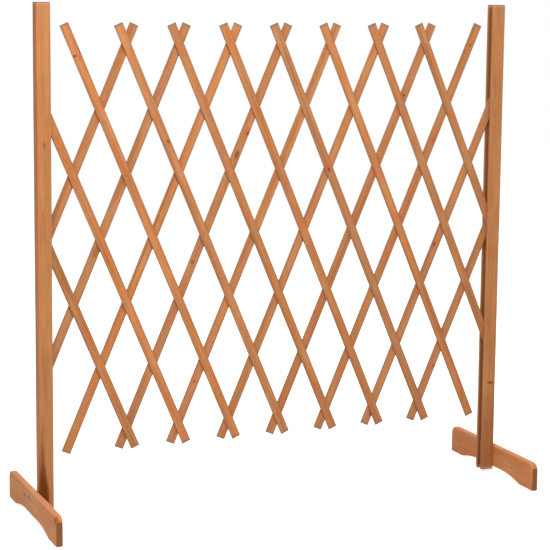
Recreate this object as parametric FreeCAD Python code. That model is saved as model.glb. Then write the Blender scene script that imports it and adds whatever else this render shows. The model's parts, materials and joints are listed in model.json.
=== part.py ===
import FreeCAD, Part
import math
import os

# Expanding garden trellis: a lattice of crossed slats between two grooved posts on feet.
# Millimetres. X runs along the trellis, Y from front to back, Z up.
# The origin lies on the ground, midway between the posts.

# Posts
post_width = 28.0
post_depth = 26.0
post_length = 994.0
post_ground_gap = 6.0
post_edge_round = 1.5
post_end_bevel = 1.0
web_thickness = 5.5

# Slats
slat_width = 18.0
slat_thickness = 4.0
slat_edge_round = 0.5
tip_overhang = 42.0
post_end_overhang = 8.0

# Lattice, as it stands half open: the span is between the pivot pins of the two posts
pivot_span = 966.0
pivot_pitch = 136.5
row_steps = 6
column_steps = 18
middle_height = 544.0

# Feet
foot_length = 348.0
foot_thickness = 14.0
foot_height = 57.0
foot_corner_radius = 15.0
foot_edge_round = 3.0
pad_length = 50.0
arch_rise = 11.5
arch_flat_length = 90.0

# Pivot nails between the slats, driven from behind
nail_radius = 1.2
nail_head_radius = 3.0
nail_head_thickness = 1.0
nail_head_round = 0.4
nail_tip_cover = 0.8

# Pivot pins in the posts, driven from behind
pin_radius = 1.5
pin_head_radius = 3.5
pin_head_thickness = 1.2
pin_head_round = 0.5
pin_tip_cover = 3.5

# Screws that hold the feet, driven from inside the groove
screw_radius = 1.6
screw_head_radius = 3.0
screw_head_thickness = 2.0
screw_head_round = 0.8
screw_tip_cover = 3.5
screw_edge_distance = 10.0

# Clearances
layer_gap = 0.3
groove_clearance = 1.85
slat_end_clearance = 1.8
running_clearance = 0.05
nail_head_clearance = 0.1

# Lattice spacing and its two layers
column_pitch = pivot_span / column_steps
row_pitch = math.sqrt(pivot_pitch ** 2 - column_pitch ** 2)
slat_lean_degrees = math.degrees(math.asin(column_pitch / pivot_pitch))
middle_row = row_steps // 2
front_layer_face = -layer_gap / 2 - slat_thickness
rear_layer_face = layer_gap / 2 + slat_thickness
falling_slats = range(-middle_row, column_steps - middle_row + 1, 2)
rising_slats = range(middle_row, column_steps + middle_row + 1, 2)

# Places across the right half: the left half is its mirror image
groove_width = layer_gap + 2 * (slat_thickness + groove_clearance)
pivot_to_web = math.hypot(slat_width / 2, post_end_overhang) + slat_end_clearance
post_pivot_x = pivot_span / 2
web_face_x = post_pivot_x + pivot_to_web
post_outer_x = web_face_x + web_thickness
post_inner_x = post_outer_x - post_width
foot_outer_x = post_outer_x + foot_thickness

origin = FreeCAD.Vector(0, 0, 0)
along_x = FreeCAD.Vector(1, 0, 0)
along_y = FreeCAD.Vector(0, 1, 0)
along_z = FreeCAD.Vector(0, 0, 1)


def box(low, high):
    """Box between two opposite corners."""
    size = [top - bottom for bottom, top in zip(low, high)]
    return Part.makeBox(*size, FreeCAD.Vector(*low))


def rod(radius, start, end):
    """Round bar between two points."""
    return Part.makeCylinder(radius, (end - start).Length, start, end - start)


def parallel_edges(shape, direction):
    """Straight edges of a shape that run along a direction."""
    found = []
    for edge in shape.Edges:
        run = edge.Vertexes[-1].Point - edge.Vertexes[0].Point
        if run.cross(direction).Length < Part.Precision.confusion():
            found.append(edge)
    return found


def headed_nail(head_base, tip, radius, head_radius, head_thickness, head_round):
    """Nail or screw with a round head: the head sits on head_base, the shank ends at tip."""
    outward = (head_base - tip).normalize()
    head = rod(head_radius, head_base, head_base + outward * head_thickness)
    rim = max(head.Edges, key=lambda edge: edge.CenterOfMass.dot(outward))
    head = head.makeFillet(head_round, [rim])
    return head.fuse(rod(radius, tip, head_base)).removeSplitter()


def mirrored(shape):
    """The same piece on the left half."""
    return shape.mirror(origin, along_x)


def column_of(slat, row, is_falling):
    """Column of the pivot that a slat has in a row, counted from the left post."""
    return slat + row if is_falling else slat - row


def rows_of(slat, is_falling):
    """Rows, counted from the top, in which a slat has a pivot between the posts."""
    rows = range(row_steps + 1)
    return [row for row in rows if 0 <= column_of(slat, row, is_falling) <= column_steps]


def at_post(column):
    """True for the pivot columns that run inside a post's groove."""
    return column in (0, column_steps)


def is_nailed(column, row):
    """True where a falling and a rising slat cross between the posts."""
    crossed = column - row in falling_slats and column + row in rising_slats
    return crossed and not at_post(column)


def pivot_point(column, row):
    """Place of a pivot in the plane between the two layers."""
    across = (column - column_steps / 2) * column_pitch
    up = middle_height + (middle_row - row) * row_pitch
    return FreeCAD.Vector(across, 0, up)


def end_overhang(column):
    """Length of slat past its last pivot: short in a groove, long at a free tip."""
    return post_end_overhang if at_post(column) else tip_overhang


def pivot_hole(column, row, is_falling):
    """Hole for the pivot in a slat, or nothing at a free tip or a sliding end."""
    centre = pivot_point(column, row)
    front = centre + along_y * front_layer_face
    rear = centre + along_y * rear_layer_face
    if at_post(column) and row == middle_row:
        return rod(pin_radius + running_clearance, front, rear)
    if not is_nailed(column, row):
        return None
    if is_falling:
        return rod(nail_radius, front + along_y * nail_tip_cover, rear)
    return rod(nail_radius + running_clearance, front, rear)


def make_slat(slat, is_falling):
    """One slat: a board cut to length, leaned, set in its layer and drilled."""
    rows = rows_of(slat, is_falling)
    first = column_of(slat, rows[0], is_falling)
    last = column_of(slat, rows[-1], is_falling)
    top = end_overhang(first)
    bottom = -pivot_pitch * (rows[-1] - rows[0]) - end_overhang(last)
    front = front_layer_face if is_falling else layer_gap / 2
    low = (-slat_width / 2, front, bottom)
    high = (slat_width / 2, front + slat_thickness, top)
    board = box(low, high)
    board = board.makeFillet(slat_edge_round, parallel_edges(board, along_z))
    board.rotate(origin, along_y, -slat_lean_degrees if is_falling else slat_lean_degrees)
    board.translate(pivot_point(first, rows[0]))
    for row in rows:
        hole = pivot_hole(column_of(slat, row, is_falling), row, is_falling)
        if hole:
            board = board.cut(hole)
    return board


def make_slat_nails(slat):
    """Pivot nails of one falling slat, with their heads behind the rising slats."""
    nails = []
    for row in rows_of(slat, True):
        column = column_of(slat, row, True)
        if is_nailed(column, row):
            centre = pivot_point(column, row)
            base = centre + along_y * (rear_layer_face + nail_head_clearance)
            tip = centre + along_y * (front_layer_face + nail_tip_cover)
            nails.append(headed_nail(base, tip, nail_radius, nail_head_radius,
                                     nail_head_thickness, nail_head_round))
    return Part.makeCompound(nails)


def post_pin_ends():
    """Head seat and tip of the right post's pivot pin."""
    centre = pivot_point(column_steps, middle_row)
    base = centre + along_y * (post_depth / 2)
    tip = centre - along_y * (post_depth / 2 - pin_tip_cover)
    return base, tip


def make_pin():
    """Pivot pin of the right post: through the rear wall and both slats, blind in front."""
    base, tip = post_pin_ends()
    return headed_nail(base, tip, pin_radius, pin_head_radius, pin_head_thickness, pin_head_round)


def foot_screw_ends():
    """Head seat and tip of each screw of the right foot."""
    heights = (arch_rise + screw_edge_distance, foot_height - screw_edge_distance)
    tip_x = foot_outer_x - screw_tip_cover
    return [(FreeCAD.Vector(web_face_x, 0, height), FreeCAD.Vector(tip_x, 0, height))
            for height in heights]


def make_foot_screws():
    """Screws that hold the right foot to its post."""
    return Part.makeCompound([
        headed_nail(base, tip, screw_radius, screw_head_radius,
                    screw_head_thickness, screw_head_round)
        for base, tip in foot_screw_ends()])


def make_post():
    """Right post: a square upright with bevelled ends and a groove along its inner face."""
    bottom = post_ground_gap
    top = bottom + post_length
    blank = box((post_inner_x, -post_depth / 2, bottom), (post_outer_x, post_depth / 2, top))
    long_edges = parallel_edges(blank, along_z)
    end_edges = parallel_edges(blank, along_x) + parallel_edges(blank, along_y)
    rounded = blank.makeFillet(post_edge_round, long_edges)
    post = rounded.common(blank.makeChamfer(post_end_bevel, end_edges))
    groove = box((post_inner_x, -groove_width / 2, bottom), (web_face_x, groove_width / 2, top))
    post = post.cut(groove)
    base, tip = post_pin_ends()
    post = post.cut(rod(pin_radius, tip, base))
    for base, tip in foot_screw_ends():
        post = post.cut(rod(screw_radius, base, tip))
    return post


def foot_outline():
    """Side view of a foot: two pads, an arch between them and rounded top corners."""
    half = foot_length / 2
    foot_inside = half - pad_length
    flat = arch_flat_length / 2
    run = foot_inside - flat
    arch_radius = (run * run + arch_rise * arch_rise) / (2 * arch_rise)
    middle_angle = math.asin(run / arch_radius) / 2
    middle_y = flat + arch_radius * math.sin(middle_angle)
    middle_z = arch_rise - arch_radius * (1 - math.cos(middle_angle))
    corner = foot_corner_radius
    bulge = corner * (1 - math.sqrt(0.5))

    def point(y, z):
        return FreeCAD.Vector(post_outer_x, y, z)

    def line(start, end):
        return Part.LineSegment(point(*start), point(*end)).toShape()

    def arc(start, middle, end):
        return Part.Arc(point(*start), point(*middle), point(*end)).toShape()

    return Part.Wire([
        line((-half, 0), (-foot_inside, 0)),
        arc((-foot_inside, 0), (-middle_y, middle_z), (-flat, arch_rise)),
        line((-flat, arch_rise), (flat, arch_rise)),
        arc((flat, arch_rise), (middle_y, middle_z), (foot_inside, 0)),
        line((foot_inside, 0), (half, 0)),
        line((half, 0), (half, foot_height - corner)),
        arc((half, foot_height - corner), (half - bulge, foot_height - bulge),
            (half - corner, foot_height)),
        line((half - corner, foot_height), (corner - half, foot_height)),
        arc((corner - half, foot_height), (bulge - half, foot_height - bulge),
            (-half, foot_height - corner)),
        line((-half, foot_height - corner), (-half, 0)),
    ])


def is_upper_rim(edge):
    """True for the edges that run round the ends and the top of a foot's two faces."""
    box_of_edge = edge.BoundBox
    across = box_of_edge.XLength > foot_thickness / 2
    below = box_of_edge.ZMax <= arch_rise + Part.Precision.confusion()
    return not across and not below


def make_foot():
    """Right foot: an arched board with softened upper edges, drilled for its screws."""
    foot = Part.Face(foot_outline()).extrude(along_x * foot_thickness)
    foot = foot.makeFillet(foot_edge_round, [edge for edge in foot.Edges if is_upper_rim(edge)])
    for base, tip in foot_screw_ends():
        foot = foot.cut(rod(screw_radius, base, tip))
    return foot


def make_all():
    """Every piece of the trellis by its name."""
    pieces = {}
    for maker, name in ((make_post, "post"), (make_foot, "foot"), (make_pin, "pin"),
                        (make_foot_screws, "foot_screws")):
        piece = maker()
        pieces["right_" + name] = piece
        pieces["left_" + name] = mirrored(piece)
    for number, slat in enumerate(falling_slats, 1):
        pieces["falling_slat_%02d" % number] = make_slat(slat, True)
        pieces["slat_nails_%02d" % number] = make_slat_nails(slat)
    for number, slat in enumerate(rising_slats, 1):
        pieces["rising_slat_%02d" % number] = make_slat(slat, False)
    return pieces


os.makedirs("parts", exist_ok=True)
for name, shape in make_all().items():
    shape.exportStep(os.path.join("parts", name + ".step"))
    print(name, len(shape.Solids), "solid(s)", round(shape.Volume), "mm3", shape.isValid())
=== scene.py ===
# %% [markdown]
# # An expanding garden trellis in stained fir
#
# The trellis is a lattice of thin slats, nailed where they cross, between two grooved posts that
# stand on arched feet. Its sizes, its joints and its pieces are already fixed in a packed model.
# This lesson dresses that model: each board is rebuilt as a surface with softened edges, and gets
# a finish that follows its own grain. We begin by loading the fixed frame and noting its box.

# %% Load the frame
import json
import math
import bpy
import numpy as np
from mathutils import Matrix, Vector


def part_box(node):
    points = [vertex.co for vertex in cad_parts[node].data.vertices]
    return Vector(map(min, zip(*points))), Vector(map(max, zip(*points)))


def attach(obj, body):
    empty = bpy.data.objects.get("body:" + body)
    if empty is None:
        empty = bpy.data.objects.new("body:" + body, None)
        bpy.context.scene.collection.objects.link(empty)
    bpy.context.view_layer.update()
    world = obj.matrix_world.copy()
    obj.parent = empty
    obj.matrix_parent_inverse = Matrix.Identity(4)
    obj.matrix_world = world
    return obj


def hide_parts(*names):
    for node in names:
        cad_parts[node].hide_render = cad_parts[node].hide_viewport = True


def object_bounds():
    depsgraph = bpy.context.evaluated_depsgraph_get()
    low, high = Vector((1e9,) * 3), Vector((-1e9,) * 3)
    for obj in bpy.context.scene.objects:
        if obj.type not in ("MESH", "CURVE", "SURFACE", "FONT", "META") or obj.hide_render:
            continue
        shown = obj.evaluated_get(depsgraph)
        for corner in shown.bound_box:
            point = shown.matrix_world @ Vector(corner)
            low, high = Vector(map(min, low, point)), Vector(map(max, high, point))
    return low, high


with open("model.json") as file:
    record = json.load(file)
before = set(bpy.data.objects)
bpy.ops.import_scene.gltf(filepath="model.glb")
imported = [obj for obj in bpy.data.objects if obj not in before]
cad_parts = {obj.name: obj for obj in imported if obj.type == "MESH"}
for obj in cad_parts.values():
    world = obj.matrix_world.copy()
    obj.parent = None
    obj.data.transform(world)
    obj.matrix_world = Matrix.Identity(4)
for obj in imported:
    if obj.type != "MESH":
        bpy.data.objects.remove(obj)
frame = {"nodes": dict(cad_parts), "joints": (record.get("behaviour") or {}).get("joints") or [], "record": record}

MM = 0.001
cad_low, cad_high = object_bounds()
print("frame:", len(frame["nodes"]), "nodes, box", [round(v, 4) for v in cad_high - cad_low], "m")

# %% [markdown]
# ## The lean of the slats
#
# Every slat leans by the same angle, one way in the front layer and the other way behind it. The
# angle could be typed in, but the frame knows it: two neighbouring pivots on one slat give both
# the lean and the pitch between nails. Reading it there keeps the boards true if the frame changes.

# %% Read the lattice from the pivots
pivots = {joint["name"]: np.array(joint["pos_m"]) for joint in frame["joints"]}
step = pivots["rising_03_turn"] - pivots["rising_02_turn"]
lean = math.atan2(abs(step[0]), abs(step[2]))
nail_pitch = float(np.linalg.norm(step))
print("lean %.2f degrees, nails every %.1f mm" % (math.degrees(lean), nail_pitch / MM))

# %% [markdown]
# ## A board as two chains carried along its length
#
# All the wood here is made of boards, so one function makes them all. Look at a board's end: its
# outline can be split into two chains of points that share their first and last point. Carry both
# chains along the board, station by station, and join neighbours with four-sided faces: that is the
# skin. At each end, rungs from one chain to the other close the cut. A cube with a Bevel modifier
# would be quicker, but then the wear of the edges could not change along the board.

# %% Faces of a carried board
def ring_of(first, second):
    """All points at each station: the first chain, then the second one backwards.

    Both chains begin and end at the same points, so these are left out of the second.
    """
    return np.hstack([first, second[:, -2:0:-1]])


def board_faces(stations, ring):
    """Faces of a board with `ring` points at each of its stations.

    Face (i, j) joins ring points j and j + 1 at stations i and i + 1, and each end has rungs from
    point j of one chain to point j of the other. Returns skin, rungs and end triangles.
    """
    index = np.arange(stations * ring).reshape(stations, ring)
    after = np.roll(index, -1, axis=1)
    skin = np.stack([index[:-1], after[:-1], after[1:], index[1:]], axis=-1).reshape(-1, 4)
    near = np.arange(ring // 2 + 1)
    far = (ring - near) % ring
    start = np.stack([near[2:-1], near[1:-2], far[1:-2], far[2:-1]], axis=-1)
    start_tips = np.array([[near[1], near[0], far[1]], [near[-1], near[-2], far[-2]]])
    last = (stations - 1) * ring
    rungs = np.concatenate([start, start[:, ::-1] + last])
    tips = np.concatenate([start_tips, start_tips[:, ::-1] + last])
    return skin, rungs, tips


print("shortest board: %d skin faces, %d rungs, %d end triangles"
      % tuple(len(faces) for faces in board_faces(stations=2, ring=6)))

# %% [markdown]
# ## Wood that remembers how it was cut
#
# Real grain runs through a board, so the same growth rings show on its face, its edge and its end.
# A flat picture wrapped round the board can't do that. Instead each point of the mesh keeps where
# it lay in the plank, along, across and through the wood, and where the heart of the log was. The
# finish later works out rings, knots and fibres from those numbers. Faces at a saw cut are marked
# too, because end grain drinks more stain than the long faces do.

# %% Faces that point outwards
def enclosed(points, faces):
    """Six times the volume that some faces add, positive where they point outwards.

    Each face is fanned into triangles, and first . (second x third) is summed over them.
    """
    first, *others = points[faces].swapaxes(0, 1)
    return sum(np.einsum("ij,ij->", first, np.cross(second, third))
               for second, third in zip(others, others[1:]))


cube_corner = np.vstack([np.zeros(3), np.identity(3)])
print("corner of a unit cube: %.3f of it" % (enclosed(cube_corner, np.array([[1, 2, 3]])) / 6))

# %% Put a board into Blender
SHARP_EDGE = math.radians(38)


def keep_values(mesh, name, kind, domain, values):
    """Stores one value per point or face under a name that a finish can read."""
    field = "value" if kind == "FLOAT" else "vector"
    layer = mesh.attributes.new(name, kind, domain)
    layer.data.foreach_set(field, np.ascontiguousarray(values, dtype=np.float32).ravel())


def add_object(name, data):
    """Puts a mesh, a lamp or a camera into the scene under a name."""
    made = bpy.data.objects.new(name, data)
    bpy.context.scene.collection.objects.link(made)
    return made


def make_board(name, points, lay, plank, wear_and_shade, keep=slice(None), walls=()):
    """A board object from its grid of points, with its wood numbers on points and faces.

    Its faces are the skin, without those that `keep` leaves out for holes, the walls of the holes,
    and the cuts at both ends. All are turned round if what they enclose comes out negative.
    """
    skin, *cuts = board_faces(*points.shape[:2])
    skin = np.concatenate([skin[keep], *walls])
    parts = [skin, *cuts]
    points = points.reshape(-1, 3)
    if sum(enclosed(points, part) for part in parts) < 0:
        parts = [part[:, ::-1] for part in parts]
    used, packed = np.unique(np.concatenate([part.ravel() for part in parts]), return_inverse=True)
    faces, begin = [], 0
    for part in parts:
        faces += packed[begin:begin + part.size].reshape(part.shape).tolist()
        begin += part.size
    mesh = bpy.data.meshes.new(name)
    mesh.from_pydata(points[used].tolist(), [], faces)
    lay = lay.reshape(-1, 3)[used] + (plank["shift"], 0.0, 0.0)
    keep_values(mesh, "lay", "FLOAT_VECTOR", "POINT", lay)
    for key in ("pith", "mood"):
        keep_values(mesh, key, "FLOAT_VECTOR", "POINT", np.tile(plank[key], (len(used), 1)))
    for key, values in wear_and_shade.items():
        keep_values(mesh, key, "FLOAT", "POINT", values.ravel()[used])
    keep_values(mesh, "end_cut", "FLOAT", "FACE", np.arange(len(faces)) >= len(skin))
    mesh.shade_smooth()
    mesh.set_sharp_from_angle(angle=SHARP_EDGE)
    return add_object(name, mesh)


print("edges sharper than %.0f degrees stay sharp" % math.degrees(SHARP_EDGE))

# %% [markdown]
# ## Planks and their moods
#
# No two sticks from the same pile have the same colour. Each board draws its own numbers: where the
# heart of its log lay, how warm the stain turned and how deep it went. The draw is seeded with the
# number of the pile and the board's own number, so the pile is the same on every run. This pile was
# picked because its upper boards are the lighter ones, as in the picture. Edges wander a little too.
# Noise could do that, but a sum of a few sine waves is enough.

# %% Draws for one board
PILE = 3958
PLANK_SPACING = 3.0
HEART_NEAREST, HEART_FURTHEST = 12 * MM, 45 * MM


def draw_plank(number):
    """Random numbers of one board: its generator, shift along the log, heart place and mood."""
    draw = np.random.default_rng([PILE, number])
    away = draw.uniform(HEART_NEAREST, HEART_FURTHEST)
    turn = draw.uniform(0, 2 * math.pi)
    pith = np.array([0.0, away * math.cos(turn), away * math.sin(turn)])
    return {"draw": draw, "shift": number * PLANK_SPACING, "pith": pith,
            "mood": draw.uniform(0, 1, 3)}


def near_ends(places, reach):
    """1 at both ends of a board, falling to 0 at `reach` from them."""
    from_end = np.minimum(places - places.min(), places.max() - places)
    return np.clip(1 - from_end / reach, 0, 1)


def wander(draw, places, longest, least, most):
    """A number that wanders from least to most: three sine waves, each half as long as the last."""
    lengths = longest / 2.0 ** np.arange(3)
    phases = draw.uniform(0, 2 * math.pi, 3)
    waves = np.sin(2 * math.pi * places[:, None] / lengths + phases) * lengths / lengths.sum()
    return least + (most - least) * (0.5 + 0.5 * waves.sum(axis=1))


print("mood of plank 1:", np.round(draw_plank(1)["mood"], 2))

# %% [markdown]
# ## Boards in place of nodes
#
# A board takes the place of one node of the frame and rides on the body that the node belongs to, so
# it moves with the lattice as the node did. It could also lie over the plain node, but the sharp edges
# of the node would then stick out wherever the board is rounded.

# %% Let a board stand for a node
bodies = frame["record"]["behaviour"]["bodies"]
body_of = {node: body for body, members in bodies.items() for node in members}
plank_of = {}


def lay_boards(measured, build):
    """Builds a board for each measured node; it takes the node's place and rides on its body.

    Boards are counted in the order they are made, and the count seeds a board's own draws.
    """
    boards = []
    for measures in measured:
        node = measures["node"]
        plank_of[node] = len(plank_of) + 1
        board = build(measures, draw_plank(plank_of[node]))
        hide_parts(node)
        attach(board, body_of[node])
        boards.append(board)
    return boards


print("bodies that boards can ride on:", len(bodies))

# %% [markdown]
# ## One slat
#
# A slat is a rounded strip. Half of its outline is a chain: from the middle of one narrow side, up a
# rounded corner, across the wide face and down again. The other half is its mirror image. Corners
# are rounded more where the stick was handled more, and the saw left a fine arris at each end. The
# slats behind turn on nails that belong to the slats in front, so those slats get real holes: eight
# points of the grid round each nail move out onto a circle, and the faces inside are left out.

# %% The outline of a slat
LANES = np.array([-6.4, -4.3, -2.4, -1.2, 0.0, 1.2, 2.4, 4.3, 6.4]) * MM
CORNER_STEPS = 4
QUARTER_TURN = np.linspace(0, math.pi / 2, CORNER_STEPS + 1)


def rounded_corner(radius):
    """How far the points of a quarter circle lie from the first and the second side it joins.

    That is radius - radius cos(turn) and radius - radius sin(turn).
    """
    return radius * (1 - np.cos(QUARTER_TURN)), radius * (1 - np.sin(QUARTER_TURN))


def slat_chain(left, right, thick, corner):
    """Half outline of a slat at every station, as across and through.

    From (-left, 0) a quarter circle of radius `corner` rises to half the thickness, straight lanes
    cross the face, and the mirrored quarter circle comes down to (right, 0).
    """
    inset, drop = rounded_corner(corner)
    rise = thick - drop
    middle = np.zeros_like(left)
    lanes = LANES + middle
    across = np.hstack([-left, inset - left, lanes, (right - inset)[:, ::-1], right])
    through = np.hstack([middle, rise, thick + 0 * lanes, rise[:, ::-1], middle])
    return across, through


print("half a slat's outline: %d lanes, %d steps in a corner" % (len(LANES), CORNER_STEPS))

# %% Stations along a slat
ARRIS = 0.4 * MM
STATION_SPACING = 7 * MM
HOLE_CELL = 1.2 * MM
DIGITS = 7


def slat_stations(length, holes):
    """Distances along a slat: even steps, a fine arris at both ends and five lines round a hole."""
    half = length / 2
    even = np.linspace(-half, half, round(length / STATION_SPACING) + 1)
    around = (np.array(holes)[:, None] + HOLE_CELL * np.arange(-2, 3)).ravel()
    if len(around):
        clear = np.abs(even[:, None] - around).min(axis=1) > HOLE_CELL
        even = even[clear]
    ends = (-half, ARRIS - half, half - ARRIS, half)
    return np.unique(np.round(np.concatenate([even, around, ends]), DIGITS))


print("stations on a metre without holes:", len(slat_stations(1.0, [])))

# %% [markdown]
# ## Drilling without a Boolean
#
# A Boolean modifier would cut round holes, but it leaves long thin triangles and loses the wood
# numbers at the new points. Moving eight grid points is exact and keeps everything in place. The
# same eight directions serve the front face, the back face and the wall between them.

# %% Holes in a slat
ROUND_THE_HOLE = np.array([(-1, -1), (-1, 0), (-1, 1), (0, 1), (1, 1), (1, 0), (1, -1), (0, -1)])
EIGHT_SIDES = math.cos(math.pi / len(ROUND_THE_HOLE))
MIDDLE_LANE = 2 + CORNER_STEPS + len(LANES) // 2


def drill(along, across, stations, keep, holes, radius):
    """Opens a hole at each place: moves the eight points round it and drops the faces inside.

    The points go to centre + radius * direction / |direction|, with the radius widened so that the
    flats of the eight-sided hole clear the round pin. Returns the wall faces.
    """
    ring = across.shape[1]
    index = np.arange(across.size).reshape(across.shape)
    way = ROUND_THE_HOLE / np.linalg.norm(ROUND_THE_HOLE, axis=1, keepdims=True)
    walls = []
    for hole in holes:
        row = np.abs(stations - hole).argmin() + ROUND_THE_HOLE[:, 0]
        lane = MIDDLE_LANE + ROUND_THE_HOLE[:, 1]
        for column in (lane, ring - lane):
            along[row, column] = hole + radius / EIGHT_SIDES * way[:, 0]
            across[row, column] = radius / EIGHT_SIDES * way[:, 1]
        centre = row[1] + 1
        for column in (MIDDLE_LANE - 1, ring - MIDDLE_LANE - 1):
            keep[centre - 1:centre + 1, column:column + 2] = False
        front, back = index[row, lane], index[row, ring - lane]
        walls.append(np.stack([front, np.roll(front, -1), np.roll(back, -1), back], axis=-1))
    return walls


print("eight-sided holes reach %.1f %% further than the pin" % (100 / EIGHT_SIDES - 100))

# %% [markdown]
# ## Where the holes go
#
# A front slat and a slat behind it are two straight lines in the plane of the lattice. Where they
# cross within the length of both, a nail holds them, and at the posts a pin does. Both lines lean
# by the same angle, so the crossing of two centre lines needs no more than a sum and a difference.

# %% Centre lines of the slats
FRONT, REAR = "falling", "rising"


def slat_measures(node, layer, leans):
    """Centre, length, width, thickness and direction of a slat, from the frame's box of its node.

    A strip L long and W wide, leaning by an angle, fills a box L sin + W cos wide and
    L cos + W sin high, and these two equations give L and W.
    """
    low, high = (np.array(corner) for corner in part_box(node))
    wide, deep, tall = high - low
    sine, cosine = math.sin(lean), math.cos(lean)
    length = (tall * cosine - wide * sine) / math.cos(2 * lean)
    width = (wide * cosine - tall * sine) / math.cos(2 * lean)
    return {"node": node, "layer": layer, "centre": (low + high) / 2, "length": length,
            "width": width, "thick": deep, "along": np.array([leans * sine, 0.0, cosine]),
            "across": np.array([cosine, 0.0, -leans * sine])}


slats = {layer: [slat_measures(node, layer, leans) for node in sorted(frame["nodes"])
                 if node.startswith(layer + "_slat")]
         for layer, leans in ((FRONT, -1), (REAR, 1))}
print("slat: %.0f x %.0f x %.0f mm"
      % tuple(slats[FRONT][0][side] / MM for side in ("length", "width", "thick")))

# %% Places where slats cross
def crossings(slat, others):
    """Places along a slat, from its centre, where the others cross it within both lengths.

    With a x b for a.x b.z - a.z b.x, the place is (gap x other) / (slat x other), where gap leads
    from the slat's centre to the other's.
    """
    gap = np.array([other["centre"] - slat["centre"] for other in others])
    turned = np.array([other["along"] for other in others])
    cross = slat["along"][0] * turned[:, 2] - slat["along"][2] * turned[:, 0]
    here = (gap[:, 0] * turned[:, 2] - gap[:, 2] * turned[:, 0]) / cross
    there = (gap[:, 0] * slat["along"][2] - gap[:, 2] * slat["along"][0]) / cross
    reach = np.array([other["length"] for other in others]) / 2
    return here[(np.abs(here) < slat["length"] / 2) & (np.abs(there) < reach)]


print("crossings:", sum(len(crossings(slat, slats[REAR])) for slat in slats[FRONT]))

# %% [markdown]
# ## Nails, pins and which holes they need
#
# The nails are driven into the front slats and never turn in them, so the front slats stay whole.
# The slats behind turn on the nails. At the two posts, both slats turn on the post's pin, which is
# thicker. The radius of each comes from the frame: a head is wider than its shank, so the shank is
# measured at the end that is driven in.

# %% Measure the shanks
SAME_PLACE = MM / 100
NAILS_APART = 5 * MM
HOLE_CLEARANCE = 0.05 * MM


def node_points(node):
    """Every point of a frame node's mesh, one row each."""
    mesh = frame["nodes"][node].data
    flat = np.empty(len(mesh.vertices) * 3, dtype=np.float32)
    mesh.vertices.foreach_get("co", flat)
    return flat.reshape(-1, 3).astype(float)


def shank_radius(node):
    """Half the width of a pin or nail at its driven end, the one with the lowest y."""
    points = node_points(node)
    tip = points[points[:, 1] < points[:, 1].min() + SAME_PLACE]
    first = tip[np.abs(tip[:, 0] - tip[0, 0]) < NAILS_APART]
    return float(np.ptp(first[:, 0]) / 2)


pin_radius = shank_radius("left_pin") + HOLE_CLEARANCE
nail_radius = shank_radius("slat_nails_01") + HOLE_CLEARANCE
pin_places = [(np.array(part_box(pin)[0]) + np.array(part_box(pin)[1])) / 2
              for pin in ("left_pin", "right_pin")]
print("holes: nails %.2f mm, pins %.2f mm radius" % (nail_radius / MM, pin_radius / MM))

# %% [markdown]
# ## All the slats
#
# Now the pieces above come together. A slat that runs to a post's pin gets the wider hole there, and
# a slat of the rear layer gets a nail hole at every other crossing. Each point also keeps how near it
# is to an edge and to a tip, and the finish darkens a slat's edges with painted shade on its narrow
# sides. Each finished board takes the place of its node in the frame, so it moves with the lattice.

# %% Build the slats
TIP_FADE = 8 * MM
EDGE_FROM, EDGE_FULL = 0.45, 0.95
EDGE_WANDER, EDGE_WAVE = 0.2 * MM, 0.4
LEAST_ROUND, MOST_ROUND, ROUND_WAVE = 0.5 * MM, 1.1 * MM, 0.25


def is_pin(slat, place):
    """True where a crossing lies on one of the two post pins."""
    spot = slat["centre"] + place * slat["along"]
    return min(np.hypot(*(spot - pin)[[0, 2]]) for pin in pin_places) < MM


def build_slat(slat, plank):
    """One slat: its chains carried along the stations, drilled, and set in its place."""
    draw = plank["draw"]
    behind = slat["layer"] == REAR
    crossed = crossings(slat, slats[FRONT if behind else REAR])
    pins = [place for place in crossed if is_pin(slat, place)]
    nails = [place for place in crossed if behind and not is_pin(slat, place)]
    stations = slat_stations(slat["length"], pins + nails)
    at_end = np.zeros(len(stations))
    at_end[[0, -1]] = ARRIS
    half = slat["width"] / 2 - at_end
    left = half - wander(draw, stations, EDGE_WAVE, 0.0, EDGE_WANDER)
    right = half - wander(draw, stations, EDGE_WAVE, 0.0, EDGE_WANDER)
    corner = wander(draw, stations, ROUND_WAVE, LEAST_ROUND, MOST_ROUND)
    thick = slat["thick"] / 2 - at_end
    across, through = slat_chain(left[:, None], right[:, None], thick[:, None], corner[:, None])
    across, through = ring_of(across, across), ring_of(-through, through)
    along = np.repeat(stations[:, None], across.shape[1], axis=1)
    keep = np.ones((len(stations) - 1, across.shape[1]), dtype=bool)
    walls = drill(along, across, stations, keep, nails, nail_radius)
    walls += drill(along, across, stations, keep, pins, pin_radius)
    lay = np.stack([along, across, through], axis=-1)
    points = slat["centre"] + lay @ np.array([slat["along"], slat["across"], (0.0, 1.0, 0.0)])
    beside = np.abs(across) / (slat["width"] / 2)
    # The edge number lets the finish paint shade along the slat's narrow sides.
    wear_and_shade = {"edge": np.clip((beside - EDGE_FROM) / (EDGE_FULL - EDGE_FROM), 0, 1),
            "tip": near_ends(along, TIP_FADE)}
    return make_board(slat["node"] + "_board", points, lay, plank, wear_and_shade, keep.ravel(), walls)


slat_boards = lay_boards(slats[FRONT] + slats[REAR], build_slat)
print("slats:", len(slat_boards), "boards,",
      sum(len(board.data.polygons) for board in slat_boards), "faces")
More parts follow.
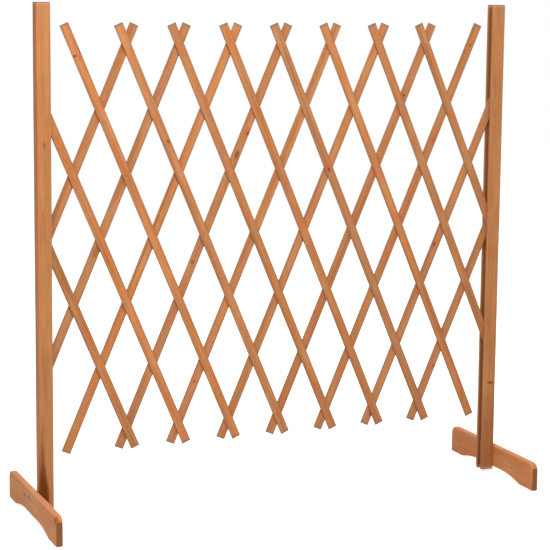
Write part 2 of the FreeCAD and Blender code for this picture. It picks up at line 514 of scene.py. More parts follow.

# %% [markdown]
# ## The grooved posts
#
# Each post is a square stick with a deep groove along the side that faces the lattice, where the ends
# of the slats slide as the trellis folds. Its outline also splits into two chains: one round the
# outside and one round the inside of the groove, and they meet at the two lips. The ends are
# bevelled, so the outer chain draws in there while the walls of the groove stay where they are. The
# points of the groove and, about half as strongly, those of the lips are marked for painted shade.

# %% Measure a post
def post_measures(node, inward):
    """Sizes of a post from its frame mesh: the groove is what shows at the inner face."""
    points = node_points(node)
    low, high = points.min(axis=0), points.max(axis=0)
    inner = high[0] if inward > 0 else low[0]
    at_mouth = np.abs(points[:, 0] - inner) < SAME_PLACE
    half_groove = np.abs(points[at_mouth, 1]).min()
    in_groove = np.abs(np.abs(points[:, 1]) - half_groove) < SAME_PLACE
    width = high[0] - low[0]
    depth_left = width - np.ptp(points[in_groove, 0])
    top_face = points[points[:, 2] > high[2] - SAME_PLACE]
    bevel = high[1] - top_face[:, 1].max()
    return {"node": node, "inward": inward, "outer": inner - inward * width, "width": width,
            "half_depth": high[1], "bottom": low[2], "top": high[2], "half_groove": half_groove,
            "web": depth_left, "bevel": bevel}


posts = [post_measures("right_post", -1), post_measures("left_post", 1)]
print("groove %.1f mm wide, web %.1f mm, bevel %.1f mm"
      % tuple(posts[0][key] * scale / MM for key, scale in
              (("half_groove", 2), ("web", 1), ("bevel", 1))))

# %% [markdown]
# ## Two chains round a groove
#
# The half chains start at a lip and end at the middle of the outer side. Both have the same number of
# points, so the rungs at the ends fill the cut exactly. At the bevel, distances from the groove
# shrink in proportion, which keeps the rounded corners round. A Boolean cut would make the groove in
# one step, but its new faces would have no place in the plank.

# %% Chains of a post
POST_LEAST_ROUND, POST_MOST_ROUND = 1.5 * MM, 2.6 * MM
WEB_ROUND = 0.5 * MM
FACE_STEPS, SIDE_STEPS = 8, 4


def half_outside(post, corner):
    """Outer half chain of a post, as distance from its outer side and from its middle plane.

    Lip, quarter circle, face, quarter circle, then half of the outer side to the middle plane.
    """
    none = np.zeros_like(corner)
    face = corner + (post["width"] - 2 * corner) * np.linspace(1, 0, FACE_STEPS + 1)[1:-1]
    side = (post["half_depth"] - corner) * np.linspace(1, 0, SIDE_STEPS + 1)[1:]
    inset, drop = rounded_corner(corner)
    inward = np.hstack([none + post["width"], post["width"] - inset, face, drop, 0 * side])
    aside = np.hstack([none + post["half_groove"], post["half_depth"] - drop,
                       0 * face + post["half_depth"], post["half_depth"] - inset, side])
    return inward, aside


def half_groove(post, corner):
    """Groove half chain with as many points: wall, small corner at the web, half of the web."""
    none = np.zeros_like(corner)
    inset, drop = rounded_corner(WEB_ROUND)
    wall_points = CORNER_STEPS + 1 + FACE_STEPS
    wall = np.linspace(post["width"], post["web"] + WEB_ROUND, wall_points + 1)[:-1]
    web = (post["half_groove"] - WEB_ROUND) * np.linspace(1, 0, SIDE_STEPS + 1)[1:]
    inward = np.hstack([wall, post["web"] + drop, 0 * web + post["web"]]) + none
    aside = np.hstack([0 * wall + post["half_groove"], post["half_groove"] - inset, web]) + none
    return inward, aside


def draw_in(post, inward, aside, bevel, outside):
    """Moves the ends in by the bevel: across the wall in proportion, along the groove as well."""
    width, groove = post["width"], post["half_groove"]
    if outside:
        inward = width / 2 + (inward - width / 2) * (1 - 2 * bevel / width)
        beyond = np.maximum(aside - groove, 0) * (1 - bevel / (post["half_depth"] - groove))
        return inward, np.minimum(aside, groove) + beyond
    web = post["web"]
    return web + (inward - web) * (1 - bevel / (width - web)), aside


one_corner = np.full((1, 1), POST_LEAST_ROUND)
print("points in a half chain: %d outside, %d in the groove"
      % tuple(maker(posts[0], one_corner)[0].size for maker in (half_outside, half_groove)))

# %% Build the posts
POST_STATION = 12 * MM
POST_WAVE = 0.3
LIP_SHADE = 0.55


def build_post(post, plank):
    """A post: outer and groove chains carried up the stick, drawn in at the bevelled ends."""
    bevel, bottom, top = post["bevel"], post["bottom"], post["top"]
    inner = np.linspace(bottom + TIP_FADE, top - TIP_FADE, round((top - bottom) / POST_STATION))
    stations = np.concatenate([[bottom, bottom + bevel], inner, [top - bevel, top]])
    cut = np.zeros((len(stations), 1))
    cut[[0, -1]] = bevel
    corner = wander(plank["draw"], stations, POST_WAVE, POST_LEAST_ROUND, POST_MOST_ROUND)
    chains = []
    for maker, outside in ((half_outside, True), (half_groove, False)):
        inward, aside = draw_in(post, *maker(post, corner[:, None]), cut, outside)
        inward = np.hstack([inward, inward[:, -2::-1]])
        aside = np.hstack([-aside, aside[:, -2::-1]])
        chains.append((inward, aside))
    inward, aside = (ring_of(outer, groove) for outer, groove in zip(*chains))
    height = np.repeat(stations[:, None], inward.shape[1], axis=1)
    points = np.stack([post["outer"] + post["inward"] * inward, aside, height], axis=-1)
    lay = np.stack([height, inward - post["width"] / 2, aside], axis=-1)
    near_corner = np.abs(aside) > post["half_depth"] - corner[:, None]
    near_side = np.minimum(inward, post["width"] - inward) < corner[:, None]
    # Painted shade in the groove: 1 on the groove's points, LIP_SHADE on the two lips.
    in_groove = np.zeros(inward.shape[1])
    in_groove[len(in_groove) // 2 + 1:] = 1
    in_groove[[0, len(in_groove) // 2]] = LIP_SHADE
    wear_and_shade = {"edge": near_corner & near_side, "tip": near_ends(height, TIP_FADE),
            "groove": np.broadcast_to(in_groove, inward.shape)}
    return make_board(post["node"] + "_stick", points, lay, plank, wear_and_shade)


post_boards = lay_boards(posts, build_post)
print("posts:", [len(board.data.polygons) for board in post_boards], "faces")

# %% [markdown]
# ## The arched feet
#
# A foot is a board on edge. Its lower side is cut away in an arch, so that it stands on a pad at each
# end, and its upper edges and corners are rounded over. Seen from the side, every point has a
# distance to the rounded rim, and that distance alone gives how thick the board is there: full
# thickness inside, less within the rounding. So the foot is a surface over length and height.

# %% Measure a foot
def foot_measures(node):
    """Sizes of a foot from its frame mesh: box, roundings, pad ends and the arch.

    The level part of the top ends where the corners begin to round, and it is narrower than the
    board by the rounding of the rim.
    """
    points = node_points(node)
    low, high = points.min(axis=0), points.max(axis=0)
    on_ground = np.abs(points[points[:, 2] < low[2] + SAME_PLACE, 1])
    outer_face = np.abs(points[:, 0]) > np.abs(points[:, 0]).max() - SAME_PLACE
    arch = points[outer_face & (points[:, 2] < high[2] / 2)]
    rise = arch[:, 2].max()
    at_rise = arch[arch[:, 2] > rise - SAME_PLACE]
    level = points[points[:, 2] > high[2] - SAME_PLACE]
    return {"node": node, "middle": (low[0] + high[0]) / 2, "half": (high[0] - low[0]) / 2,
            "reach": high[1], "height": high[2], "pad": on_ground.min(), "rise": rise,
            "flat": np.abs(at_rise[:, 1]).max(), "corner": high[1] - level[:, 1].max(),
            "rim": high[0] - level[:, 0].max()}


feet = [foot_measures(node) for node in ("right_foot", "left_foot")]
print("arch: %.1f mm high, flat for %.0f mm, pads from %.0f mm out"
      % (feet[0]["rise"] / MM, 2 * feet[0]["flat"] / MM, feet[0]["pad"] / MM))
print("corners rounded by %.1f mm, rim by %.1f mm" % (feet[0]["corner"] / MM, feet[0]["rim"] / MM))

# %% [markdown]
# ## A thickness from a distance
#
# The under side is a flat stretch and a circular arc down to each pad. The upper side is level, with a
# quarter circle at each end. Rounding over with a router takes the same quarter circle off along the
# whole rim, so the half thickness is full - round + sqrt(round² - (round - distance)²). A curve with
# a bevel would round all edges alike, but here the lower ones stay nearly sharp.

# %% Heights and thickness of a foot
def foot_underside(foot, length):
    """Height of the under side: 0 on the pads, the rise on the flat, a circle's arc between."""
    run = foot["pad"] - foot["flat"]
    radius = (run ** 2 + foot["rise"] ** 2) / (2 * foot["rise"])
    out = np.clip(np.abs(length) - foot["flat"], 0, run)
    return foot["rise"] - radius + np.sqrt(radius ** 2 - out ** 2)


def foot_top(foot, length):
    """Height of the upper side: level, with a quarter circle down at each end."""
    corner = foot["corner"]
    out = np.clip(np.abs(length) - foot["reach"] + corner, 0, corner)
    return foot["height"] - corner + np.sqrt(corner ** 2 - out ** 2)


def foot_half_thickness(foot, length, height):
    """Half thickness from the distance to the rounded rim of the side view."""
    corner, rim = foot["corner"], foot["rim"]
    past_end = np.abs(length) - (foot["reach"] - corner)
    past_top = height - (foot["height"] - corner)
    out = np.hypot(np.maximum(past_end, 0), np.maximum(past_top, 0))
    inside = np.minimum(np.maximum(past_end, past_top), 0)
    distance = np.clip(corner - out - inside, 0, rim)
    return foot["half"] - rim + np.sqrt(rim ** 2 - (rim - distance) ** 2)


print("foot at its middle: %.1f to %.1f mm high"
      % tuple(side(feet[0], 0.0) / MM for side in (foot_underside, foot_top)))

# %% Build the feet
FOOT_STATION = 6 * MM
HEIGHT_STEPS, CORNER_STATIONS = 8, 8
ROUNDING = np.array([0.0, 0.05, 0.15, 0.3, 0.5, 0.73, 1.0])
ROUNDED_FROM = 0.05
LOWER_ARRIS, ARRIS_WAVE = 0.6 * MM, 0.1


def build_foot(foot, plank):
    """A foot: mirrored chains from the middle of the under side to the middle of the top."""
    bend = np.linspace(foot["rim"], foot["corner"], CORNER_STATIONS)
    end = foot["reach"] - np.concatenate([foot["rim"] * ROUNDING, bend])
    inner = np.linspace(0, end[-1], round(end[-1] / FOOT_STATION))
    half = np.unique(np.round(np.concatenate([inner, end]), DIGITS))
    stations = np.concatenate([-half[:0:-1], half])[:, None]
    under, top = foot_underside(foot, stations), foot_top(foot, stations)
    arris = wander(plank["draw"], stations[:, 0], ARRIS_WAVE, LOWER_ARRIS, 2 * LOWER_ARRIS)[:, None]
    rim = top - np.minimum(foot["rim"] * ROUNDING[::-1], (top - under - arris) / 2)
    rising = under + arris + (rim[:, :1] - under - arris) * np.linspace(0, 1, HEIGHT_STEPS + 1)[:-1]
    height = np.hstack([under, under, rising, rim, top])
    thick = foot_half_thickness(foot, stations, height)
    thick[:, 0] = thick[:, -1] = 0
    thick[:, 1:2] -= arris
    height, aside = ring_of(height, height), ring_of(-thick, thick)
    length = np.repeat(stations, height.shape[1], axis=1)
    points = np.stack([foot["middle"] + aside, length, height], axis=-1)
    lay = np.stack([length, height - foot["height"] / 2, aside], axis=-1)
    full = foot["half"] - foot["rim"] * ROUNDED_FROM
    rounded = (np.abs(aside) < full) & (height > under + arris)
    wear_and_shade = {"edge": rounded, "tip": near_ends(length, foot["rim"])}
    return make_board(foot["node"] + "_plank", points, lay, plank, wear_and_shade)


foot_boards = lay_boards(feet, build_foot)
print("feet:", [len(board.data.polygons) for board in foot_boards], "faces")

# %% [markdown]
# ## Writing a finish as a formula
#
# A material is a net of nodes, and a net built click by click is hard to read back. One small class
# adds a node and stands for what it puts out, and that can be added, multiplied and blended. So a
# finish is written as a formula: what is a number is set on the node, and what another node puts out
# is linked. Soft noise, drawn out along the board, will stand for most of what grows in wood.

# %% Steps of a formula
class Step:
    """What one node puts out: a number, a place or a colour from which more steps can be taken."""

    def __init__(self, tree, kind, values, output=0, **settings):
        made = tree.nodes.new("ShaderNode" + kind)
        for key, setting in settings.items():
            setattr(made, key, setting)
        for key, value in values.items():
            if isinstance(value, Step):
                tree.links.new(value.socket, made.inputs[key])
            else:
                made.inputs[key].default_value = value
        self.tree = tree
        self.socket = made.outputs[output]

    def then(self, operation, *others, output=0):
        """One arithmetic step, with numbers or with places and colours."""
        kind = "Math" if self.socket.type == "VALUE" else "VectorMath"
        return Step(self.tree, kind, dict(enumerate((self, *others))), output, operation=operation)

    def __add__(self, other):
        return self.then("ADD", other)

    def __sub__(self, other):
        return self.then("SUBTRACT", other)

    def __mul__(self, other):
        return self.then("MULTIPLY", other)

    def __truediv__(self, other):
        return self.then("DIVIDE", other)

    def length(self):
        """How far a place lies from zero."""
        return self.then("LENGTH", output="Value")

    def between(self, low, high):
        """A share from 0 to 1 turned into a number between two others."""
        return self.then("MULTIPLY_ADD", high - low, low)

    def ramp(self, low, high, least=0.0, most=1.0):
        """A smooth step: `least` below low, `most` above high."""
        return Step(self.tree, "MapRange", {0: self, 1: low, 2: high, 3: least, 4: most},
                    interpolation_type="SMOOTHSTEP")

    def part(self, place):
        """One of the three numbers of a place or a colour."""
        kind = "SeparateXYZ" if self.socket.type == "VECTOR" else "SeparateColor"
        return Step(self.tree, kind, {0: self}, place)

    def blend(self, first, second):
        """A colour between two others; this step is the share of the second."""
        return Step(self.tree, "Mix", {0: self, 6: first, 7: second}, 2, data_type="RGBA")

    def cloud(self, cells, detail=2.0, output=0):
        """Soft noise with so many cells to the metre along, across and through."""
        return Step(self.tree, "TexNoise", {"Vector": self * cells, "Scale": 1.0, "Detail": detail},
                    output)


print("steps by name:", ", ".join(name for name in vars(Step) if not name.startswith("_")))

# %% [markdown]
# ## Colours and kept numbers
#
# Colours are given as they look on a screen and turned into the linear values that the renderer
# counts with. What a board keeps on its points and faces comes in through an Attribute node. Painted
# pictures of wood could do all this too, but every board would need its own.

# %% Colours, kept numbers and shaders
def screen(red, green, blue):
    """A colour as seen on a screen, 0 to 255, as linear red, green, blue and opacity.

    The screen's curve is value / 12.92 near black and ((value + 0.055) / 1.055) ^ 2.4 above it.
    """
    seen = np.array([red, green, blue]) / 255
    linear = np.where(seen <= 0.04045, seen / 12.92, ((seen + 0.055) / 1.055) ** 2.4)
    return (*linear.tolist(), 1.0)


def kept(tree, name, output="Fac"):
    """A number or place that the boards keep on their points or faces."""
    return Step(tree, "Attribute", {}, output, attribute_name=name)


def empty_net(owner):
    """Gives a material or a world an empty net of nodes."""
    owner.use_nodes = True
    owner.node_tree.nodes.clear()
    return owner.node_tree


def show(tree, shader, values, target="OutputMaterial"):
    """Adds the shader that is seen and links it to the net's output."""
    seen = Step(tree, shader, values)
    tree.links.new(seen.socket, tree.nodes.new("ShaderNode" + target).inputs["Surface"])


print("a screen grey of 128 is %.3f in linear light" % screen(128, 128, 128)[0])

# %% [markdown]
# ## Growth rings
#
# The rings are distances from the heart of the log, swayed a little as the tree grew. Within one year
# the wood goes from pale to dark and then starts again, so the fraction of a year gives the line. A
# Wave texture draws rings too, but written out, the distance can also bulge round a knot.

# %% Late wood
RING_WIDTH = 3.1 * MM
SWAY = 7.0 * MM
SWAY_CELLS = (3.0, 20.0, 20.0)
LATE_FROM, LATE_PEAK = 0.3, 0.85
STRONG_CELLS = (5.0, 60.0, 60.0)
STRONG_BAND = (0.4, 0.65, 0.15, 1.0)


def year_lines(lay, bulge):
    """Dark late wood: the fraction of (swayed distance from the heart) / (ring width)."""
    heart = lay - kept(lay.tree, "pith", "Vector")
    sway = lay.cloud(SWAY_CELLS, output="Color") * (0.0, 2 * SWAY, 2 * SWAY)
    distance = ((heart + sway) * (0.0, 1.0, 1.0)).length() + bulge
    year = (distance / RING_WIDTH).then("FRACT")
    line = year.ramp(LATE_FROM, LATE_PEAK) * year.ramp(1.0, LATE_PEAK)
    return line * lay.cloud(STRONG_CELLS).ramp(*STRONG_BAND)


print("a ring every %.1f mm" % (RING_WIDTH / MM))

# %% [markdown]
# ## Knots
#
# A knot is a branch. One may sit in each stretch of the board, at a place and with a size that come
# from random numbers of that stretch. A Voronoi texture scatters spots with less work, but then every
# cell has one, and on a clean slat there are few.

# %% Distance to a knot
KNOT_STRETCH = 0.19
KNOT_PLACES = (0.2, 0.8)
KNOT_RADII = (1.3 * MM, 3.3 * MM)
KNOT_SQUEEZE = 0.6
RAGGED_CELLS = (250.0, 400.0, 400.0)
RAGGED = (0.55, 1.45)
NO_KNOT = 100.0


def knot_distance(lay, spread, share):
    """Distance to the knot of this stretch, divided by its radius; large where there is none.

    Random numbers of the stretch give the knot's place along and across, its size, and whether
    there is one at all. The distance is the root of far² + wide², with far squeezed so that knots
    are ovals, and a fine cloud makes it ragged.
    """
    along, across = lay.part(0), lay.part(1)
    stretch = (along / KNOT_STRETCH).then("FLOOR")
    chance, draws = (Step(lay.tree, "TexWhiteNoise", {"W": stretch}, output, noise_dimensions="1D")
                     for output in ("Value", "Color"))
    place = (stretch + draws.part(0).between(*KNOT_PLACES)) * KNOT_STRETCH
    beside = draws.part(1).between(-spread / 2, spread / 2)
    far = (along - place) * KNOT_SQUEEZE
    wide = across - beside
    distance = (far * far + wide * wide).then("SQRT") / draws.part(2).between(*KNOT_RADII)
    ragged = lay.cloud(RAGGED_CELLS).between(*RAGGED)
    return distance * ragged + chance.then("GREATER_THAN", share) * NO_KNOT


print("at most one knot every %.0f mm" % (KNOT_STRETCH / MM))

# %% [markdown]
# ## The wash of the stain
#
# The stain is a thin orange-brown wash. It sinks deeper into late wood, stays honey coloured on early
# wood, and turns more yellow or more red in patches as long as a finger. Each board is a little
# lighter, darker or warmer than the next. One noise with a colour ramp would be simpler, but it looks
# like marble: wood needs patterns of several lengths, each drawn out along the grain.

# %% Grain and wash
# Cells to the metre along, across and through, and the detail of each cloud
GRAIN = {"fibre": ((18.0, 800.0, 800.0), 3.0), "streak": ((2.6, 140.0, 140.0), 3.0),
         "patches": ((30.0, 90.0, 90.0), 4.0), "shades": ((9.0, 30.0, 30.0), 2.0),
         "flecks": ((70.0, 420.0, 420.0), 2.0)}
# Where a layer begins and where it is full, then its least and its greatest share
BULGE_BAND, KNOT_BULGE = (4.0, 0.5), 3.0 * MM
FOX_BAND = (0.38, 0.62)
HONEY_BAND = (0.4, 0.7, 0.0, 0.6)
STREAK_BAND = (0.46, 0.72)
FIBRE_BAND = (0.5, 0.75, 0.0, 0.3)
FLECK_BAND = (0.55, 0.75)
WARMTH, DEEPEST = 0.2, 0.84
BARK = screen(140, 78, 38)


def grain_of(lay, wood):
    """All patterns of a wood by name: the clouds, the distance to a knot and the late wood."""
    grain = {name: lay.cloud(cells, detail) for name, (cells, detail) in GRAIN.items()}
    grain["knot"] = knot_distance(lay, wood["knot_spread"], wood["knot_share"])
    grain["late"] = year_lines(lay, grain["knot"].ramp(*BULGE_BAND) * KNOT_BULGE)
    return grain


def washed(tree, wood, grain):
    """The colour of clean stained wood.

    Patches blend tan and fox, larger shades blend in honey, streaks, late wood and fibres blend in
    bark, and flecks blend in pale wood, each by its own share. The board's depth of stain then
    multiplies the whole.
    """
    mood = kept(tree, "mood", "Vector")
    warm = grain["patches"] + mood.part(0).between(-WARMTH / 2, WARMTH / 2)
    colour = warm.ramp(*FOX_BAND).blend(wood["tan"], wood["fox"])
    colour = grain["shades"].ramp(*HONEY_BAND).blend(colour, wood["honey"])
    colour = grain["streak"].ramp(*STREAK_BAND, 0.0, wood["streaks"]).blend(colour, BARK)
    colour = (grain["late"] * wood["lines"]).blend(colour, BARK)
    colour = grain["fibre"].ramp(*FIBRE_BAND).blend(colour, BARK)
    colour = grain["flecks"].ramp(*FLECK_BAND, 0.0, wood["flecks"]).blend(colour, wood["pale"])
    tone = mood.part(1).between(DEEPEST, 1.0)
    return colour * Step(tree, "CombineXYZ", {0: tone, 1: tone, 2: tone})


print("clouds in the grain:", ", ".join(GRAIN))

# %% [markdown]
# ## Marks that belong to one board
#
# Some marks can be found again on the real trellis. Low on the left post a strip of dark heartwood
# shows, pointed at its upper end, and next to the foot the same marks are painted contact shadow
# where the post meets it. An orange strip runs down along its outer corner. The left foot has two
# brown smudges on its outer face and a red knot at its front end. The right post has a red knot and a
# darker lower end, and six slats have a knot or a scar in a known place. A random pattern would not
# put them there. Each is a long thin oval, placed by distances along and across its own board. Every
# board lies elsewhere in the log, so no other board gets the mark.

# %% Marks by their places
from collections import namedtuple

MARK_RIM = 1.35
Mark = namedtuple("Mark", "node front along across length width share colour soft", defaults=[0.45])
# Places and half sizes in millimetres, then how strongly the mark covers the wood, and its colour
MARKS = [
    Mark("falling_slat_03", 1.5, 380, 3, 9, 4, 0.6, screen(206, 104, 58)),
    Mark("falling_slat_03", 1.5, 394, 8, 12, 2, 0.7, screen(120, 66, 36)),
    Mark("falling_slat_03", 1.5, 388, -5, 3, 5, 0.8, screen(106, 68, 34)),
    Mark("rising_slat_02", 1.5, -110, 1, 14, 7, 0.5, screen(134, 68, 26)),
    Mark("rising_slat_04", 1.5, 172, 1, 11, 4.5, 0.8, screen(130, 62, 22)),
    Mark("rising_slat_04", 1.5, -58, -2, 5, 4, 0.9, screen(160, 76, 34)),
    Mark("rising_slat_05", 1.5, -320, -1, 3.5, 3, 0.8, screen(178, 72, 42)),
    Mark("rising_slat_07", 1.5, 294, -1, 3, 3, 0.9, screen(104, 62, 36)),
    Mark("rising_slat_08", 1.5, 414, -1, 16, 5, 0.5, screen(220, 116, 70)),
    Mark("rising_slat_08", 1.5, 405, 0.5, 5, 2, 0.9, screen(100, 52, 30)),
    Mark("left_post", 10, 720, -10.5, 600, 2.2, 0.8, screen(226, 128, 66)),
    # Dark heartwood, and near the foot painted contact shadow where the post meets it.
    Mark("left_post", 10, 50, -9, 130, 8, 0.8, screen(134, 74, 28)),
    Mark("left_post", 10, 30, -7, 85, 13, 1.0, screen(116, 58, 14), 0.25),
    Mark("right_post", 10, 197, -2.5, 3.5, 9, 0.8, screen(136, 60, 32)),
    Mark("right_post", 10, 0, 0, 160, 60, 0.4, screen(140, 78, 42)),
    Mark("left_foot", 5, 20, 13.5, 9, 3.6, 0.5, screen(132, 60, 14)),
    Mark("left_foot", 5, -2, 11.5, 12, 3.4, 0.3, screen(140, 76, 32)),
    Mark("left_foot", 2, -170, 21, 9, 8, 0.9, screen(182, 80, 46))]


def stain_mark(lay, mark, fibre):
    """Strong where the distance to a long thin oval, frayed by the fibres, is under its rim.

    The distance is the length of (along / half length, across / half width) from the middle. The
    mark fades in from the middle plane of the board to `front` millimetres before it.
    """
    shift = plank_of[mark.node] * PLANK_SPACING
    middle = lay - (shift + mark.along * MM, mark.across * MM, 0.0)
    reach = (middle * (1 / (mark.length * MM), 1 / (mark.width * MM), 0.0)).length() + fibre
    front = lay.part(2).ramp(0.0, -mark.front * MM)
    return reach.ramp(MARK_RIM + mark.soft, MARK_RIM - mark.soft, 0.0, mark.share) * front


print("marks:", len(MARKS), "on", len({mark.node for mark in MARKS}), "boards")

# %% [markdown]
# ## Edges, ends and the finished wood
#
# Edges and sawn ends look different from a clean face. The edges of a slat are darkened with painted
# shade on its narrow sides, and those of posts and feet take their own paler colour. The groove and its
# lips are darkened with painted shade. Stain soaks deep into end grain and leaves the last few
# millimetres greyish. Wear is often made with Pointiness, which needs a very dense mesh, or with
# ambient occlusion, which is slow. The numbers kept on the boards know exactly where edges and ends
# are. The same patterns drive how rough the surface is and the fine relief that a fingernail feels.

# %% Wear and painted shade laid over the wash
KNOT = screen(96, 50, 24)
RED_HALO = screen(196, 98, 52)
SOAKED = screen(92, 62, 44)
EDGE_BAND = (0.3, 0.7, 0.3, 0.7)
GROOVE_SHADE = 0.6
HALO_BAND, KNOT_BAND = (3.4, 0.9, 0.0, 0.5), (1.0, 0.5, 0.0, 0.8)
TIP_BAND, FRAYED_BAND = (0.1, 0.6), (0.2, 0.8, 0.4, 0.8)
SOAKED_BAND = (0.7, 0.95, 0.0, 0.7)
END_LINES, END_SHARE = 0.5, 0.9


def worn_and_shaded(lay, wood, grain, colour, marks):
    """The washed colour with edges, groove, marks, knots, tips and end cuts laid over it in turn.

    The slats' dark edges, the groove with its lips and the contact shadow low on the left post are
    painted shade.
    """
    tree = lay.tree
    # On slats the edge colour is painted shade on the narrow sides; posts and feet get a paler edge colour.
    edge = kept(tree, "edge") * grain["patches"].ramp(*EDGE_BAND)
    colour = edge.blend(colour, wood["edge"])
    # Painted shade in the groove and, more weakly, on its lips.
    if "groove" in wood:
        colour = (kept(tree, "groove") * GROOVE_SHADE).blend(colour, wood["groove"])
    # Two marks on the left post also paint contact shadow by the foot; the other marks are the wood's own.
    for mark in marks:
        colour = stain_mark(lay, mark, grain["fibre"]).blend(colour, mark.colour)
    colour = grain["knot"].ramp(*HALO_BAND).blend(colour, RED_HALO)
    colour = grain["knot"].ramp(*KNOT_BAND).blend(colour, KNOT)
    tip = kept(tree, "tip")
    faded = tip.ramp(*TIP_BAND) * grain["fibre"].ramp(*FRAYED_BAND)
    colour = faded.blend(colour, wood["tip"])
    colour = tip.ramp(*SOAKED_BAND).blend(colour, SOAKED)
    cut = (grain["late"] * END_LINES).blend(wood["end"], BARK)
    return (kept(tree, "end_cut") * END_SHARE).blend(colour, cut)


print("end grain covers %.0f %% of a saw cut's colour" % (100 * END_SHARE))

# %% The finish of the wood
LATE_RELIEF, KNOT_RELIEF = 0.4, (1.4, 0.8, 0.0, 0.8)
WOOD_ROUGHNESS = (0.45, 0.75)


def stained_fir(name, wood, marks):
    """A wood finish that reads the numbers kept on a board: colour, roughness and relief."""
    finish = bpy.data.materials.new(name)
    tree = empty_net(finish)
    lay = kept(tree, "lay", "Vector")
    grain = grain_of(lay, wood)
    colour = worn_and_shaded(lay, wood, grain, washed(tree, wood, grain), marks)
    relief = grain["late"] * LATE_RELIEF + grain["fibre"] + grain["knot"].ramp(*KNOT_RELIEF)
    normal = Step(tree, "Bump", {"Strength": 0.5, "Distance": 0.2 * MM, "Height": relief})
    show(tree, "BsdfPrincipled", {"Base Color": colour, "Normal": normal,
                                  "Roughness": grain["fibre"].between(*WOOD_ROUGHNESS),
                                  "Specular IOR Level": wood["sheen"]})
    return finish


print("roughness of the wood: %.2f to %.2f" % WOOD_ROUGHNESS)

# %% [markdown]
# ## Three kinds of board
#
# Slats, posts and feet come from different planks and took the stain differently: slats are streaky,
# posts are calm, feet are the palest. The slats' edges are darkened with painted shade. They share
# one finish with different colours and shares, which is easier to tune than three separate nets. A
# low sheen keeps the dark marks dark.

# %% Finish every board
WOODS = {
    # A slat's edge colour is painted shade on its narrow sides.
    "slat": {"honey": screen(237, 165, 105), "tan": screen(210, 143, 94), "fox": screen(227, 138, 75),
             "pale": screen(244, 185, 129), "edge": screen(160, 112, 80), "tip": screen(168, 126, 100),
             "end": screen(146, 112, 92), "streaks": 0.4, "lines": 0.25, "flecks": 0.35,
             "knot_spread": 13 * MM, "knot_share": 0.08, "sheen": 0.25},
    "post": {"honey": screen(226, 153, 97), "tan": screen(208, 143, 89), "fox": screen(212, 133, 81),
             "pale": screen(230, 163, 109), "edge": screen(194, 141, 101),
             # The post's groove colour is painted shade in the groove and on its lips.
             "tip": screen(208, 163, 138), "end": screen(146, 112, 92), "groove": screen(122, 62, 22),
             "streaks": 0.2, "lines": 0.14, "flecks": 0.2,
             "knot_spread": 20 * MM, "knot_share": 0.06, "sheen": 0.1},
    "foot": {"honey": screen(244, 172, 114), "tan": screen(225, 153, 99), "fox": screen(229, 145, 91),
             "pale": screen(248, 190, 140), "edge": screen(228, 154, 102), "tip": screen(196, 124, 70),
             "end": screen(158, 104, 54), "streaks": 0.14, "lines": 0.12, "flecks": 0.4,
             "knot_spread": 40 * MM, "knot_share": 0.22, "sheen": 0.08}}

for boards, (kind, wood) in zip((slat_boards, post_boards, foot_boards), WOODS.items()):
    finish = stained_fir(kind + "_fir", wood, [mark for mark in MARKS if kind in mark.node])
    for board in boards:
        board.data.materials.append(finish)
    print(finish.name, "on", len(boards), "boards,", len(finish.node_tree.nodes), "nodes")

# %% [markdown]
# ## Zinc on the nails, pins and screws
#
# The fasteners keep their shapes from the frame. Outdoor nails are dipped in zinc, which sets in
# small crystals of slightly different greys. A plain grey metal would look like plastic. A Voronoi
# pattern gives one random grey to each crystal, and the same cells change how sharply each one shines.

# %% The finish of the fasteners
CRYSTAL = 1.4 * MM
ZINC_DARK, ZINC_LIGHT = screen(150, 151, 150), screen(192, 194, 196)
ZINC_ROUGHNESS = (0.38, 0.58)
SCRATCH_CELLS, SCRATCH_DETAIL = (2500.0, 900.0, 2500.0), 3.0


def zinc_coat(name):
    """Dull grey metal in crystals: each Voronoi cell has its own grey and its own roughness."""
    finish = bpy.data.materials.new(name)
    tree = empty_net(finish)
    place = Step(tree, "TexCoord", {}, "Object")
    crystal = Step(tree, "TexVoronoi", {"Vector": place, "Scale": 1 / CRYSTAL}, "Color").part(0)
    scratches = place.cloud(SCRATCH_CELLS, SCRATCH_DETAIL)
    normal = Step(tree, "Bump", {"Strength": 0.3, "Distance": 0.05 * MM, "Height": scratches})
    show(tree, "BsdfPrincipled", {"Base Color": crystal.blend(ZINC_DARK, ZINC_LIGHT),
                                  "Metallic": 1.0, "Normal": normal,
                                  "Roughness": crystal.between(*ZINC_ROUGHNESS)})
    return finish


zinc = zinc_coat("zinc_coat")
steel_nodes = [name for name in frame["nodes"]
               if any(fastener in name for fastener in ("nails", "pin", "screws"))]
for name in steel_nodes:
    for place in frame["nodes"][name].material_slots:
        place.material = zinc
print("zinc on", len(steel_nodes), "nodes")

# %% [markdown]
# ## Floor and backdrop
#
# The trellis stands on pure white, with hardly a shadow. A white floor under plain light renders a
# little grey, and more light would bleach the wood. So the floor glows faintly, only for rays that
# the eye follows, and the world is white to those rays and dimmer to the rays that light the wood.

# %% White floor
FLOOR_SPAN = 12.0
FLOOR_GREY = (0.7, 0.7, 0.7, 1.0)
FLOOR_GLOW = 0.78
WHITE = (1.0, 1.0, 1.0, 1.0)


def seen_rays(tree):
    """1 for camera, mirror and see-through rays, 0 for rays that carry light."""
    straight, mirrored, through = (Step(tree, "LightPath", {}, "Is %s Ray" % way)
                                   for way in ("Camera", "Glossy", "Transmission"))
    return straight.then("MAXIMUM", mirrored).then("MAXIMUM", through)


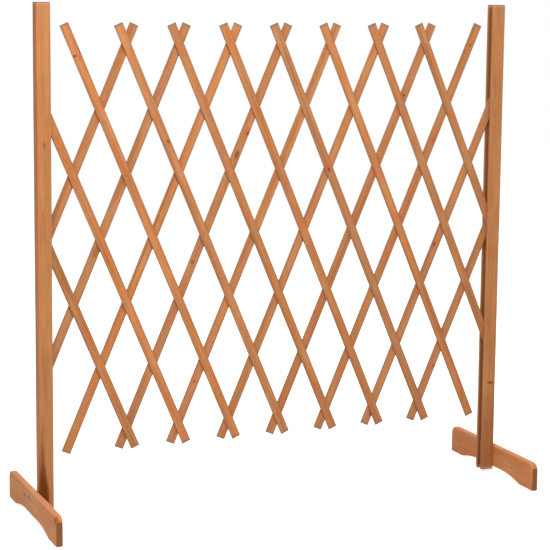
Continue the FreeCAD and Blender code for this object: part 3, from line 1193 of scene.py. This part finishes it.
corners = FLOOR_SPAN / 2 * np.array([(-1, -1, 0), (1, -1, 0), (1, 1, 0), (-1, 1, 0)])
floor_mesh = bpy.data.meshes.new("floor")
floor_mesh.from_pydata(corners.tolist(), [], [(0, 1, 2, 3)])
floor = add_object("floor", floor_mesh)
paint = bpy.data.materials.new("white_floor")
tree = empty_net(paint)
show(tree, "BsdfPrincipled", {"Base Color": FLOOR_GREY, "Roughness": 0.9, "Specular IOR Level": 0.0,
                              "Emission Color": WHITE,
                              "Emission Strength": seen_rays(tree) * FLOOR_GLOW})
floor_mesh.materials.append(paint)
print("floor", FLOOR_SPAN, "m wide")

# %% White world
WORLD_LIGHT = 0.32
world = bpy.data.worlds.new("white_room")
bpy.context.scene.world = world
tree = empty_net(world)
strength = seen_rays(tree).between(WORLD_LIGHT, 1.0)
show(tree, "Background", {"Color": WHITE, "Strength": strength}, "OutputWorld")
print("world light", WORLD_LIGHT)

# %% [markdown]
# ## Soft studio light
#
# The shadows in the picture are soft, and the upper left of the lattice is the brightest part. So the
# main light is a panel above and in front, a little to the left. A larger, weaker panel stands to the
# left and keeps the sides of the posts from going dull, and two more do the same for the back and the
# right. A sun lamp would be simpler, but it lights every height alike. Together with the world the
# panels light a board that faces us about fully.

# %% Four light panels
def looking(place, forward, roll=0.0):
    """The matrix of something at `place` that looks along `forward`, rolled over.

    Its columns are right = forward x (0, 0, 1) and up = right x forward, both turned by the roll,
    then backward and the place.
    """
    forward = forward / np.linalg.norm(forward)
    level = np.cross(forward, (0.0, 0.0, 1.0))
    level = level / np.linalg.norm(level)
    upright = np.cross(level, forward)
    right = level * math.cos(roll) + upright * math.sin(roll)
    up = upright * math.cos(roll) - level * math.sin(roll)
    stand = np.identity(4)
    stand[:3] = np.column_stack([right, up, -forward, place])
    return Matrix(stand.tolist())


def light_panel(name, place, aim, size, power):
    """A square area light at `place`, turned to face `aim`, `size` in metres, `power` in watts."""
    lamp = bpy.data.lights.new(name, "AREA")
    lamp.shape = "SQUARE"
    lamp.size = size
    lamp.energy = power
    add_object(name, lamp).matrix_world = looking(place, np.subtract(aim, place))


lattice_middle = (0.0, 0.0, cad_high.z / 2)
light_panel("main_panel", (-0.4, -1.4, 2.4), (-0.1, 0.0, 0.8), 0.9, 36.0)
light_panel("fill_panel", (-2.4, -2.4, 1.3), lattice_middle, 2.0, 16.0)
light_panel("back_panel", (0.4, 2.6, 2.4), lattice_middle, 2.4, 40.0)
light_panel("side_panel", (2.6, 0.4, 1.4), lattice_middle, 2.0, 8.0)
print("light panels:", [lamp.name for lamp in bpy.data.lights])

# %% [markdown]
# ## The camera
#
# The picture was taken with a long lens from the front left, a little above the middle of the trellis.
# Place, direction and focal length were found by matching the outlines of the posts, feet and slats.
# The lens is shifted down a little, as in a studio, which keeps the posts nearly upright.

# %% Camera at the photographer's place
PICTURE = 550
SENSOR = 36.0
FOCAL_PIXELS = 1734.5
LENS_SHIFT = -0.09
eye = np.array([-1.3564, -3.1855, 1.0245])
turn_right, tilt_up, roll = (math.radians(angle) for angle in (22.928, -7.702, 0.562))
forward = np.array([math.sin(turn_right) * math.cos(tilt_up),
                    math.cos(turn_right) * math.cos(tilt_up), math.sin(tilt_up)])
lens = bpy.data.cameras.new("picture_camera")
lens.sensor_fit = "HORIZONTAL"
lens.sensor_width = SENSOR
lens.lens = FOCAL_PIXELS / PICTURE * SENSOR
lens.shift_y = LENS_SHIFT
camera = add_object("picture_camera", lens)
camera.matrix_world = looking(eye, forward, roll)
bpy.context.scene.camera = camera
bpy.context.scene.view_settings.view_transform = "Standard"
print("camera: %.1f mm lens, %.2f m away" % (lens.lens, np.linalg.norm(eye)))

# %% [markdown]
